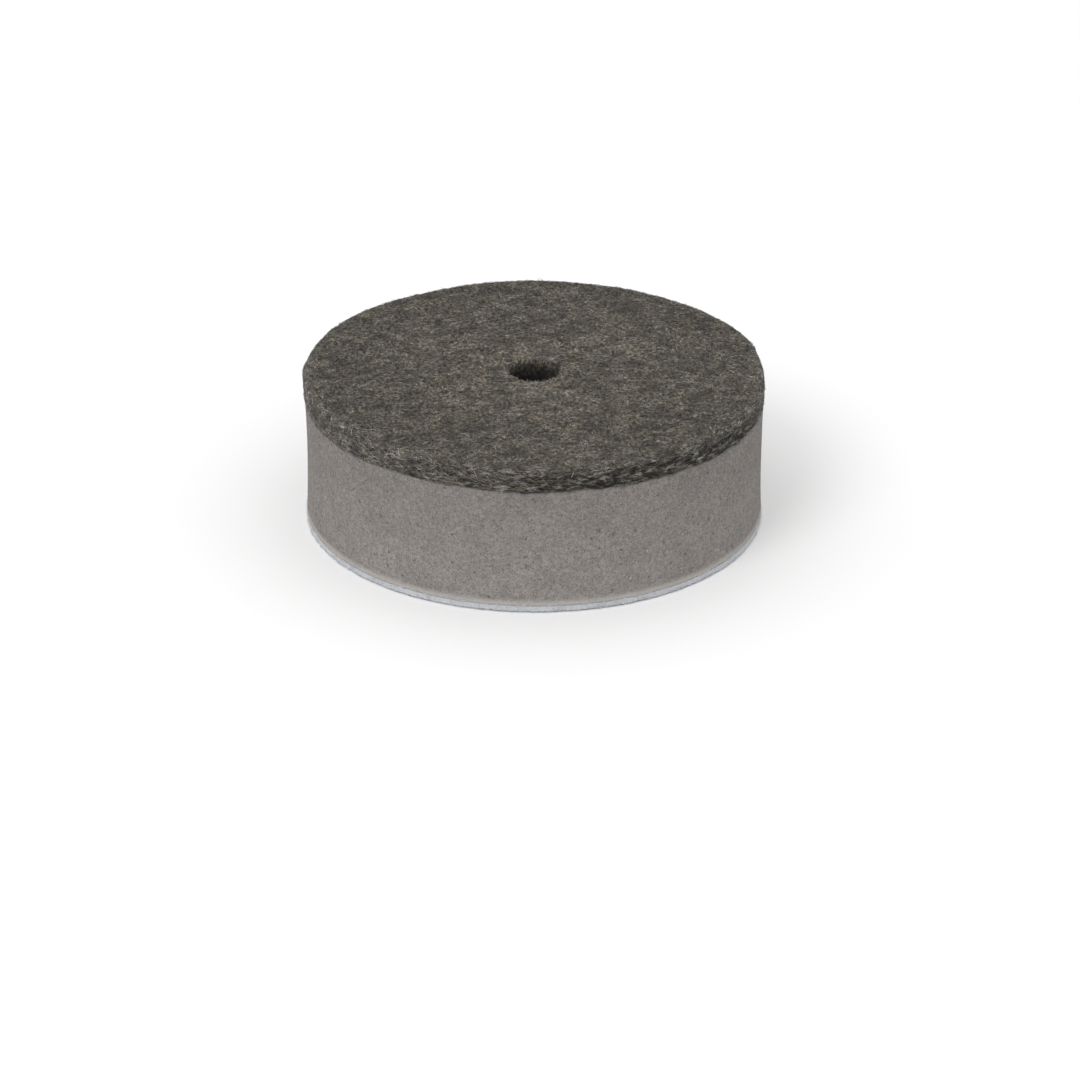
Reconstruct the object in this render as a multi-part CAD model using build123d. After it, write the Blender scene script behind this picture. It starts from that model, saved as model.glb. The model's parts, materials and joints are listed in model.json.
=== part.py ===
"""Felt polishing wheel with a foam core and a hook-and-loop back, in millimetres.

The wheel is a stack of die-cut discs, bonded face to face and pierced by one straight centre hole.
+Z runs along the wheel's axis, from the loop back (Z = 0) to the felt working face. The origin is
the centre of the hole at the loop back, which is the face that is pressed onto a backing plate.
"""

import os

from build123d import *

# Driving dimensions
WHEEL_DIAMETER = 75.0
HOLE_DIAMETER = 9.0
FELT_THICKNESS = 3.8
FOAM_THICKNESS = 19.8
FILM_THICKNESS = 0.15
GROUND_CLOTH_THICKNESS = 0.4
PILE_THICKNESS = 0.7

# Edges
FELT_SHOULDER_RADIUS = 1.1
FELT_LOWER_EDGE_RADIUS = 0.3
FELT_HOLE_EDGE_RADIUS = 0.5
PILE_EDGE_RADIUS = 0.3

# How far each layer's rim stands inside the felt's rim
FOAM_INSET = 0.15
FOAM_WAIST = 0.2
FILM_INSET = 0.35
BACKING_INSET = 0.15

# Levels along the axis, from the loop back up
PILE_TOP = PILE_THICKNESS
CLOTH_TOP = PILE_TOP + GROUND_CLOTH_THICKNESS
REAR_FILM_TOP = CLOTH_TOP + FILM_THICKNESS
FOAM_TOP = REAR_FILM_TOP + FOAM_THICKNESS
FRONT_FILM_TOP = FOAM_TOP + FILM_THICKNESS
WHEEL_HEIGHT = FRONT_FILM_TOP + FELT_THICKNESS

WHEEL_RADIUS = WHEEL_DIAMETER / 2
HOLE_RADIUS = HOLE_DIAMETER / 2
FULL_TURN = 360


def ring(outer_radius, bottom, top):
    """A flat washer round the axis, with the wheel's centre hole."""
    height = top - bottom
    disc = Cylinder(outer_radius, height, align=(Align.CENTER, Align.CENTER, Align.MIN))
    hole = Cylinder(HOLE_RADIUS, height, align=(Align.CENTER, Align.CENTER, Align.MIN))
    return Pos(0, 0, bottom) * (disc - hole)


def rim_edge(solid, radius, height):
    """The round edge of that radius at that height."""
    return [
        edge
        for edge in solid.edges().filter_by(GeomType.CIRCLE)
        if abs(edge.radius - radius) < 1e-6 and abs(edge.arc_center.Z - height) < 1e-6
    ]


def felt_face():
    """Needled felt disc: rounded shoulder, softened lower rim and softened hole mouth."""
    felt = ring(WHEEL_RADIUS, FRONT_FILM_TOP, WHEEL_HEIGHT)
    felt = fillet(rim_edge(felt, WHEEL_RADIUS, WHEEL_HEIGHT), FELT_SHOULDER_RADIUS)
    felt = fillet(rim_edge(felt, WHEEL_RADIUS, FRONT_FILM_TOP), FELT_LOWER_EDGE_RADIUS)
    return fillet(rim_edge(felt, HOLE_RADIUS, WHEEL_HEIGHT), FELT_HOLE_EDGE_RADIUS)


def foam_core():
    """Open-cell foam disc, whose die-cut side is drawn in a little at mid height."""
    rim = WHEEL_RADIUS - FOAM_INSET
    waist_level = (REAR_FILM_TOP + FOAM_TOP) / 2
    lower_rim = (rim, 0, REAR_FILM_TOP)
    waist = (rim - FOAM_WAIST, 0, waist_level)
    upper_rim = (rim, 0, FOAM_TOP)
    side = ThreePointArc(lower_rim, waist, upper_rim)
    rest = Polyline(
        upper_rim,
        (HOLE_RADIUS, 0, FOAM_TOP),
        (HOLE_RADIUS, 0, REAR_FILM_TOP),
        lower_rim,
    )
    section = make_face([side, rest])
    return revolve(section, Axis.Z, FULL_TURN)


def front_adhesive_film():
    """Hot-melt film that bonds the felt to the foam."""
    return ring(WHEEL_RADIUS - FILM_INSET, FOAM_TOP, FRONT_FILM_TOP)


def rear_adhesive_film():
    """Hot-melt film that bonds the loop fabric's ground cloth to the foam."""
    return ring(WHEEL_RADIUS - FILM_INSET, CLOTH_TOP, REAR_FILM_TOP)


def loop_ground_cloth():
    """Knitted ground of the loop fabric, which carries the loops."""
    return ring(WHEEL_RADIUS - BACKING_INSET, PILE_TOP, CLOTH_TOP)


def loop_pile():
    """The space filled by the brushed loops, with a softened outer rim."""
    pile = ring(WHEEL_RADIUS - BACKING_INSET, 0, PILE_TOP)
    return fillet(rim_edge(pile, WHEEL_RADIUS - BACKING_INSET, 0), PILE_EDGE_RADIUS)


LAYERS = {
    "felt_face": felt_face,
    "front_adhesive_film": front_adhesive_film,
    "foam_core": foam_core,
    "rear_adhesive_film": rear_adhesive_film,
    "loop_ground_cloth": loop_ground_cloth,
    "loop_pile": loop_pile,
}

os.makedirs("parts", exist_ok=True)
for name, build in LAYERS.items():
    export_step(build(), f"parts/{name}.step")
print(f"wheel {WHEEL_DIAMETER} x {WHEEL_HEIGHT:.2f} mm, hole {HOLE_DIAMETER} mm")
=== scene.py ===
"""Felt polishing wheel: a needled felt face on a foam core with a knitted loop back.

The wheel is a laminate that is die-cut in one stroke, so every layer is a washer. Each layer is a class
that models its pieces and gives them their finish. Sizes are in metres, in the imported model's frame: the
loop back lies on Z = 0, the wheel's axis is Z and the felt faces up.
"""

import json
import logging
import math
from contextlib import contextmanager
from dataclasses import dataclass, field, replace
from enum import Enum
from typing import Callable, Iterator, Sequence

import bmesh
import bpy
import numpy as np
from mathutils import Matrix, Vector, noise


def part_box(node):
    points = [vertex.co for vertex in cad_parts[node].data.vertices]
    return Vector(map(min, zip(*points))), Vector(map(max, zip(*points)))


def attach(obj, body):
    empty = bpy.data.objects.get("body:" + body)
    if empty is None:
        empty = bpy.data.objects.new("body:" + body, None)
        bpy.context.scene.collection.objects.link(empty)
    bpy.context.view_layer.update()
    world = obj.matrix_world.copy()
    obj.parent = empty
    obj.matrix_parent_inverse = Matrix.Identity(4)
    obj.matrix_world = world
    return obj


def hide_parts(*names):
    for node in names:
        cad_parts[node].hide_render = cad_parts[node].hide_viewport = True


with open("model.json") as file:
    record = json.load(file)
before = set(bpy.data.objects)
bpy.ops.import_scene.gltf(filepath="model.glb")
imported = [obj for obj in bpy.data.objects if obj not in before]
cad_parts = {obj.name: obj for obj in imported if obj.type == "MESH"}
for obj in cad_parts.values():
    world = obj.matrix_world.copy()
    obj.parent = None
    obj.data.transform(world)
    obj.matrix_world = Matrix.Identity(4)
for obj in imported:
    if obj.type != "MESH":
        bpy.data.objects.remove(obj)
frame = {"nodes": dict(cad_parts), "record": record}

LOG = logging.getLogger("felt_polishing_wheel")

MM = 0.001
HALF_TURN = math.pi
FULL_TURN = 2 * math.pi
WHEEL_BODY = "root"
# A flat layout of this name gives each copy in a filament piece its own square.
BAKE_LAYOUT = "OFBake"
SHADE = "shade"

Colour = tuple[float, float, float]
Axes = tuple[float, float, float]
Piece = bpy.types.Object
Material = bpy.types.Material
Socket = bpy.types.NodeSocket
Values = np.ndarray


class Slot(Enum):
    """The record's material slots that the new pieces take."""

    NEEDLED_FELT = "needled_felt"
    FOAM = "foam"
    LOOP_KNIT = "loop_knit"
    LOOP_PILE = "loop_pile"


class Element(Enum):
    """What edit mode selects."""

    EDGE = "EDGE"
    FACE = "FACE"


class Axis(Enum):
    """The direction in which a filament is crimped."""

    ACROSS = "Y"
    UP = "Z"


# --- Tools of the bench ---


@dataclass(frozen=True)
class Layer:
    """One bonded layer of the wheel, a washer round Z.

    Attributes:
        node: The CAD node that holds it.
        radius: Outer radius.
        hole_radius: Radius of the centre hole.
        bottom: Height of its lower face.
        top: Height of its upper face.
    """

    node: str
    radius: float
    hole_radius: float
    bottom: float
    top: float

    @classmethod
    def of_node(cls, node: str) -> "Layer":
        """Reads a layer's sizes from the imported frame.

        Args:
            node: The CAD node's name.

        Returns:
            The layer, with the centre hole's radius from the record.
        """
        low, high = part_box(node)
        hole = next(m for m in frame["record"]["mounts"] if m["name"] == "centre_hole")
        return cls(node, high[0], hole["dims"]["r_mm"] * MM, low[2], high[2])

    @property
    def height(self) -> float:
        """The layer's thickness."""
        return self.top - self.bottom

    @property
    def middle(self) -> float:
        """The height halfway up the layer."""
        return (self.top + self.bottom) / 2

    @property
    def area(self) -> float:
        """The area of one face, less the hole."""
        return HALF_TURN * (self.radius**2 - self.hole_radius**2)


def let_go() -> None:
    """Deselects every object."""
    bpy.ops.object.select_all(action="DESELECT")


def take(piece: Piece) -> None:
    """Selects one object, and makes it the active one."""
    let_go()
    piece.select_set(True)
    bpy.context.view_layer.objects.active = piece


@contextmanager
def opened(piece: Piece) -> Iterator[None]:
    """Holds one piece open in edit mode, with nothing selected at first.

    Args:
        piece: The mesh object to open.
    """
    take(piece)
    bpy.ops.object.mode_set(mode="EDIT")
    bpy.ops.mesh.select_all(action="DESELECT")
    yield
    bpy.ops.object.mode_set(mode="OBJECT")


def pick(piece: Piece, element: Element, wanted: Callable[..., bool]) -> None:
    """Selects, in edit mode, the edges or faces that pass a test, and nothing else.

    Args:
        piece: The open mesh object.
        element: Whether edges or faces are tested.
        wanted: The test, which is given one edge or face.
    """
    bpy.ops.mesh.select_mode(type=element.value)
    bpy.ops.mesh.select_all(action="DESELECT")
    mesh = bmesh.from_edit_mesh(piece.data)
    candidates = mesh.edges if element is Element.EDGE else mesh.faces
    for chosen in [item for item in candidates if wanted(item)]:
        chosen.select_set(True)
    bmesh.update_edit_mesh(piece.data)


def apply_modifier(piece: Piece, kind: str, **settings: object) -> None:
    """Adds a modifier to a piece and applies it.

    Args:
        piece: The mesh object.
        kind: The modifier's type.
        **settings: Its settings, by name.
    """
    take(piece)
    modifier = piece.modifiers.new(kind.lower(), kind)
    for name, value in settings.items():
        setattr(modifier, name, value)
    bpy.ops.object.modifier_apply(modifier=modifier.name)


def vertices_of(piece: Piece, what: str = "co") -> Values:
    """The places of a piece's vertices, or their normals, as rows of X, Y and Z."""
    flat = np.empty(len(piece.data.vertices) * 3)
    piece.data.vertices.foreach_get(what, flat)
    return flat.reshape(-1, 3)


def move_vertices(piece: Piece, places: Values) -> None:
    """Puts a piece's vertices at new places."""
    piece.data.vertices.foreach_set("co", places.reshape(-1))
    piece.data.update()


def reach_of(places: Values) -> Values:
    """How far each place is from the wheel's axis."""
    return np.hypot(places[..., 0], places[..., 1])


def bearing_of(places: Values) -> Values:
    """The angle of each place round the wheel's axis."""
    return np.arctan2(places[..., 1], places[..., 0])


def turned(along: Values, aside: Values, angle: Values) -> tuple[Values, Values]:
    """Turns points of a plane about its origin."""
    return along * np.cos(angle) - aside * np.sin(angle), along * np.sin(angle) + aside * np.cos(angle)


def all_round(draw: np.random.Generator, count: int, most: float = FULL_TURN) -> Values:
    """A column of random angles, from 0 to the most."""
    return draw.uniform(0, most, size=(count, 1))


def ripple(angle: Values, ripples: Sequence[tuple[int, float, float]]) -> Values:
    """Adds up waves round the axis, each given as how many, how high and where it starts."""
    return sum(size * np.sin(times * angle + start) for times, size, start in ripples)


def ease(low: float, high: float, value: Values) -> Values:
    """Rises smoothly from 0 at low to 1 at high."""
    share = np.clip((value - low) / (high - low), 0, 1)
    return share * share * (3 - 2 * share)


def grain(places: Values, size: float, seed: float = 0.0) -> Values:
    """Smooth noise from -1 to 1 at each place.

    Args:
        places: Rows of X, Y and Z.
        size: How far apart its lumps are.
        seed: Shifts the noise, so that each use has its own.

    Returns:
        One value for each place.
    """
    shift = Vector((seed, 2 * seed, 3 * seed))
    return np.array([noise.noise(Vector(place) + shift) for place in places / size])


def cells(places: Values, size: float, seed: float = 0.0) -> tuple[Values, Values, Values]:
    """Foam-like cells: how deep each place is inside its cell, and a random number for the cell.

    Args:
        places: Rows of X, Y and Z.
        size: How far apart the cells are.
        seed: Shifts the cells, so that each use has its own.

    Returns:
        The distance from the cell's centre and from its wall, in cells, and a number from 0 to 1 for
        each cell.
    """
    shift = Vector((seed, 2 * seed, 3 * seed))
    centre_distance = np.empty(len(places))
    wall_distance = np.empty(len(places))
    lot = np.empty(len(places))
    for index, place in enumerate(places / size):
        distances, centres = noise.voronoi(Vector(place) + shift)
        centre_distance[index] = distances[0]
        wall_distance[index] = distances[1] - distances[0]
        lot[index] = noise.cell(centres[0] * 7.3) % 1.0
    return centre_distance, wall_distance, lot


def hand_over(piece: Piece, material: Material) -> Piece:
    """Gives a finished piece its material and its body.

    Args:
        piece: The mesh object, in place.
        material: Its finish.

    Returns:
        The same piece.
    """
    piece.data.materials.clear()
    piece.data.materials.append(material)
    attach(piece, WHEEL_BODY)
    LOG.info("%s: %d faces", piece.name, len(piece.data.polygons))
    return piece


# --- Finishes ---


class Board:
    """A material's nodes, with short ways to add what the finishes share."""

    def __init__(self, name: str, roughness: float, sheen: float = 0.0, shine: float = 0.25):
        """Starts a material with one Principled shader.

        Args:
            name: The material's name.
            roughness: The shader's roughness.
            sheen: How strongly its fuzz catches light.
            shine: How strongly it reflects.
        """
        self.material = bpy.data.materials.new(name)
        self.material.use_nodes = True
        self.tree = self.material.node_tree
        self.shader = self.tree.nodes["Principled BSDF"]
        self.shader.inputs["Roughness"].default_value = roughness
        self.shader.inputs["Sheen Weight"].default_value = sheen
        self.shader.inputs["Sheen Roughness"].default_value = 0.5
        self.shader.inputs["Specular IOR Level"].default_value = shine
        self.place = self.tree.nodes.new("ShaderNodeTexCoord").outputs["Object"]

    def add(self, kind: str, inputs: dict[str | int, object], **settings: object) -> bpy.types.Node:
        """Adds a node.

        Args:
            kind: The node's type, without its ShaderNode prefix.
            inputs: For each input, a number, a colour or the output that feeds it.
            **settings: The node's own settings.

        Returns:
            The node.
        """
        node = self.tree.nodes.new(f"ShaderNode{kind}")
        for name, value in settings.items():
            setattr(node, name, value)
        for key, value in inputs.items():
            if isinstance(value, Socket):
                self.tree.links.new(value, node.inputs[key])
            else:
                node.inputs[key].default_value = value
        return node

    def stretched(self, scale: Axes, turn: float = 0.0) -> Socket:
        """The place, turned about Z and then scaled along each axis."""
        turned = self.add("Mapping", {"Vector": self.place, "Rotation": (0, 0, turn)})
        scaled = self.add("VectorMath", {0: turned.outputs[0], 1: scale}, operation="MULTIPLY")
        return scaled.outputs[0]

    def noise(self, place: Socket, size: float, detail: float = 2.0) -> Socket:
        """Smooth noise round a half, with lumps of the given size."""
        inputs = {"Vector": place, "Scale": 1 / size, "Detail": detail}
        return self.add("TexNoise", inputs).outputs["Fac"]

    def cells(self, place: Socket, size: float, feature: str = "F1") -> bpy.types.Node:
        """Cells of the given size: Distance from the centre, or from the wall, and a random Color."""
        inputs = {"Vector": place, "Scale": 1 / size}
        return self.add("TexVoronoi", inputs, feature=feature)

    def sums(self, operation: str, first: object, second: object = 0.0) -> Socket:
        """One step of arithmetic."""
        return self.add("Math", {0: first, 1: second}, operation=operation).outputs[0]

    def span(self, value: object, low: float, high: float, out_low: float, out_high: float) -> Socket:
        """Spreads the range from low to high smoothly over a new range."""
        inputs = {0: value, 1: low, 2: high, 3: out_low, 4: out_high}
        return self.add("MapRange", inputs, interpolation_type="SMOOTHSTEP").outputs[0]

    def blend(self, share: object, first: object, second: object, how: str = "MIX") -> Socket:
        """Mixes two colours.

        Args:
            share: How much of the second colour there is.
            first: A colour or an output.
            second: A colour or an output.
            how: The mix's blend type.

        Returns:
            The mixed colour.
        """
        node = self.tree.nodes.new("ShaderNodeMix")
        node.data_type = "RGBA"
        node.blend_type = how
        for key, value in ((0, share), (6, first), (7, second)):
            if isinstance(value, Socket):
                self.tree.links.new(value, node.inputs[key])
            elif key == 0:
                node.inputs[key].default_value = value
            else:
                node.inputs[key].default_value = (*value, 1.0)
        return node.outputs[2]

    def ramp(self, value: Socket, stops: Sequence[tuple[float, Colour]]) -> Socket:
        """Turns a value into a colour along stops of (value, colour)."""
        node = self.add("ValToRGB", {0: value})
        while len(node.color_ramp.elements) < len(stops):
            node.color_ramp.elements.new(0.5)
        for element, (position, colour) in zip(node.color_ramp.elements, stops):
            element.position = position
            element.color = (*colour, 1.0)
        return node.outputs[0]

    def mottle(self, colour: Socket, mottles: Sequence["Mottle"]) -> Socket:
        """Lightens and darkens a colour in patches.

        Args:
            colour: The even colour.
            mottles: The patches, each of its own size.

        Returns:
            The mottled colour.
        """
        for mottle in mottles:
            lumps = self.noise(self.stretched(mottle.stretch), mottle.size, mottle.detail)
            brightness = self.span(lumps, 0.5 - mottle.edge, 0.5 + mottle.edge, mottle.low, mottle.high)
            colour = self.dim(colour, brightness)
        return colour

    def dim(self, colour: Socket, brightness: object) -> Socket:
        """Multiplies a colour by a brightness."""
        inputs = {0: colour, "Scale": brightness}
        return self.add("VectorMath", inputs, operation="SCALE").outputs[0]

    def tint(self, colour: Socket, size: float, first: Colour, second: Colour) -> Socket:
        """Leans a colour towards one hue in some patches and another in the rest."""
        share = self.span(self.noise(self.place, size, 1), 0.38, 0.62, 0, 1)
        return self.blend(1.0, colour, self.blend(share, first, second), "MULTIPLY")

    def radius(self) -> Socket:
        """The distance from the wheel's axis."""
        level = self.add("VectorMath", {0: self.place, 1: (1, 1, 0)}, operation="MULTIPLY")
        return self.add("VectorMath", {0: level.outputs[0]}, operation="LENGTH").outputs["Value"]

    def height(self) -> Socket:
        """The height above the loop back."""
        return self.add("SeparateXYZ", {0: self.place}).outputs[2]

    def shade_towards_rim(self, colour: Socket, reach: float) -> Socket:
        """Paints shade on the face: a little lighter in its middle and a little darker towards its rim."""
        return self.dim(colour, self.span(self.radius(), 0.2 * reach, reach, 1.09, 0.90))

    def torn_shaded(self, colour: Socket, reach: float, top: float) -> Socket:
        """Paints shade into the gaps on the cut edge's ragged side, painted light on the side away from
        it, and a painted highlight along its crest.

        Args:
            colour: The edge's colour.
            reach: Radius of the edge.
            top: Height of the face, near which the edge is whole and no gap shade is painted, and under
                which the crest is painted lighter.

        Returns:
            The edge's colour, with its painted shade, light and highlight.
        """
        aim = (math.cos(TORN_SHADED_SIDE), math.sin(TORN_SHADED_SIDE), 0)
        side = self.add("VectorMath", {0: self.place, 1: aim}, operation="DOT_PRODUCT").outputs["Value"]
        height = self.height()
        # Painted shade: dark gaps on the torn side, fading out towards the face.
        low = self.span(height, top - 2.1 * MM, top - 0.4 * MM, 1, 0.1)
        share = self.sums("MULTIPLY", self.span(side, 0.72 * reach, 0.93 * reach, 0, 1), low)
        gaps = self.span(self.noise(self.stretched((0.3, 0.3, 1.0)), 0.5 * MM, 2), 0.38, 0.62, 0.08, 1.15)
        opened = self.add("Mix", {0: share, 2: 1.0, 3: gaps}).outputs[0]
        # Painted light on the side away from the torn one, and a painted highlight under the shoulder.
        light = self.span(side, -0.2 * reach, 0.2 * reach, 1.12, 1.0)
        crest_highlight = self.span(height, top - 1.8 * MM, top - 0.7 * MM, 1.0, 1.14)
        return self.dim(colour, self.sums("MULTIPLY", opened, self.sums("MULTIPLY", light, crest_highlight)))

    def paint(self, colour: Socket) -> None:
        """Links the shader's base colour."""
        self.tree.links.new(colour, self.shader.inputs["Base Color"])

    def emboss(self, height: Socket, depth: float, strength: float = 1.0) -> None:
        """Links a bump whose height of 1 stands out by depth."""
        bump = self.add("Bump", {"Height": height, "Distance": depth, "Strength": strength})
        self.tree.links.new(bump.outputs[0], self.shader.inputs["Normal"])

    def roughen(self, value: Socket) -> None:
        """Links the shader's roughness."""
        self.tree.links.new(value, self.shader.inputs["Roughness"])


@dataclass(frozen=True)
class Mottle:
    """Lighter and darker patches of one size.

    Attributes:
        size: How far apart the patches are.
        low: Brightness of the darkest.
        high: Brightness of the lightest.
        stretch: How much the place is scaled along each axis, so that less than 1 makes streaks.
        detail: How ragged the patches are.
        edge: How soft they are, from 0 to 0.5.
    """

    size: float
    low: float
    high: float
    stretch: Axes = (1.0, 1.0, 1.0)
    detail: float = 2.0
    edge: float = 0.16


TUFTS = Mottle(0.60 * MM, 0.40, 1.62)
FLECKS = Mottle(0.20 * MM, 0.57, 1.48, detail=1.0)
NEEDLE_PATCHES = Mottle(2.2 * MM, 0.62, 1.30, detail=3.0)
CLOUDS = Mottle(7.0 * MM, 0.90, 1.12, detail=3.0)
FACE_MOTTLES = (TUFTS, FLECKS, NEEDLE_PATCHES, CLOUDS)
EDGE_STREAKS = Mottle(0.46 * MM, 0.46, 1.52, (0.35, 0.35, 1.0))
EDGE_PATCHES = Mottle(2.6 * MM, 0.66, 1.24, detail=3.0)
OLIVE: Colour = (1.035, 1.00, 0.90)
SLATE: Colour = (0.975, 1.00, 1.04)
WARM_GREY: Colour = (1.015, 1.00, 0.97)
# The side of the cut edge that is torn, and on which its finish paints shade, as a bearing from +X.
TORN_SHADED_SIDE = math.radians(-54)
# The felt in the hole is painted in shade, darkest from DEEP under the mouth and lightest from SHALLOW
# under it, and none is painted from BEYOND the hole's edge.
DEEP = 2.7 * MM
SHALLOW = 0.3 * MM
BEYOND = 0.5 * MM


@dataclass(frozen=True)
class FibreFinish:
    """A blend of dyed filaments: each has one shade of the blend, and dips in and out of the light.

    Attributes:
        name: The material's name.
        blend: Stops of (lot, colour), for a filament's lot from 0 to 1.
        mottles: The tufts and patches that the filaments form together.
        tint_size: Size of the patches of either hue.
        hues: The two hues that the patches lean towards.
        hole: Radius of the punched hole, down which they are painted in shade, or 0. With it, a little
            shade is also painted towards the rim.
        top: Height of the hole's mouth.
        rim: Radius of the cut edge.
        foot: Height of the glued foot, near which they are painted in shadow, or 0. With it, the cut
            edge's painted shade and light are added too.
        roughness: The filaments' roughness.
        sheen: How strongly they catch light at their rims.
    """

    name: str
    blend: tuple[tuple[float, Colour], ...]
    mottles: tuple[Mottle, ...]
    hole: float = 0.0
    top: float = 0.0
    rim: float = 0.0
    foot: float = 0.0
    tint_size: float = 0.8 * MM
    hues: tuple[Colour, Colour] = (OLIVE, SLATE)
    roughness: float = 0.75
    sheen: float = 0.15

    def material(self) -> Material:
        """Builds the material."""
        board = Board(self.name, self.roughness, self.sheen)
        lot = board.add("Attribute", {}, attribute_name=SHADE).outputs["Fac"]
        dyed = board.tint(board.ramp(lot, self.blend), self.tint_size, *self.hues)
        colour = board.mottle(dyed, self.mottles)
        if self.hole:
            # Painted shade down the hole, then a little painted shade towards the rim.
            outside = board.span(board.radius(), self.hole + 0.05 * MM, self.hole + BEYOND, 0, 1)
            height = board.height()
            down = board.span(height, self.top - DEEP, self.top - SHALLOW, 0.05, 1.0)
            colour = board.shade_towards_rim(board.dim(colour, board.sums("MAXIMUM", outside, down)), self.rim)
        if self.foot:
            # Painted shadow along the felt's lower edge, then the cut edge's painted shade and light.
            height = board.height()
            foot_shadow = board.span(height, self.foot, self.foot + 0.55 * MM, 0.35, 1.0)
            colour = board.torn_shaded(board.dim(colour, foot_shadow), self.rim, self.top)
        board.paint(colour)
        return board.material


@dataclass(frozen=True)
class FeltGroundFinish:
    """The depth of the felt between its surface fibres: fine crossing streaks over gaps painted dark as
    shade.

    Attributes:
        layer: The felt's layer.
        rim: Radius from which the cut edge's own streaks begin.
        name: The material's name.
        gap: Colour between the fibres, a painted shade.
        fibre: Colour of the fibres that lie deeper.
        streak: Width of a streak.
        length: How many times longer than wide a streak is.
    """

    layer: Layer
    rim: float
    name: str = "needled_felt_ground"
    gap: Colour = (0.024, 0.020, 0.014)
    fibre: Colour = (0.135, 0.123, 0.100)
    streak: float = 0.13 * MM
    length: float = 5.0

    def material(self) -> Material:
        """Builds the material."""
        board = Board(self.name, 0.95, 0.1)
        face = self._crossing(board)
        edge = board.noise(board.stretched((1 / self.length, 1 / self.length, 1)), self.streak * 1.3, 1)
        radius = board.radius()
        at_edge = board.span(radius, self.rim, self.rim + 0.5 * MM, 0, 1)
        streaks = board.add("Mix", {0: at_edge, 2: face, 3: edge}).outputs[0]
        lit = board.span(streaks, 0.42, 0.68, 0, 1)
        # Between the streaks the gap colour stands for shade.
        colour = board.tint(board.blend(lit, self.gap, self.fibre), 0.8 * MM, OLIVE, SLATE)
        layer = self.layer
        face_colour = board.mottle(colour, FACE_MOTTLES)
        edge_colour = board.mottle(colour, (EDGE_STREAKS, EDGE_PATCHES))
        # Painted shade towards the rim of the face, and painted shade, light and highlight on the cut
        # edge.
        colour = board.blend(
            at_edge,
            board.shade_towards_rim(face_colour, layer.radius),
            board.torn_shaded(edge_colour, layer.radius, layer.top),
        )
        height = board.height()
        # Painted shade down the hole.
        down = board.span(height, layer.top - DEEP, layer.top - SHALLOW, 0.04, 0.85)
        outside = board.span(radius, layer.hole_radius, layer.hole_radius + BEYOND, 0, 1.0)
        board.paint(board.dim(colour, board.sums("MAXIMUM", outside, down)))
        board.emboss(streaks, 0.12 * MM, 0.8)
        return board.material

    def _crossing(self, board: Board) -> Socket:
        """Streaks that cross at several angles, the nearest on top."""
        woven: Socket | None = None
        for turn in (0.2, 1.1, 1.9, 2.7):
            streaks = board.noise(board.stretched((1 / self.length, 1, 1), turn), self.streak, 1)
            woven = streaks if woven is None else board.sums("MAXIMUM", woven, streaks)
        return woven


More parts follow.
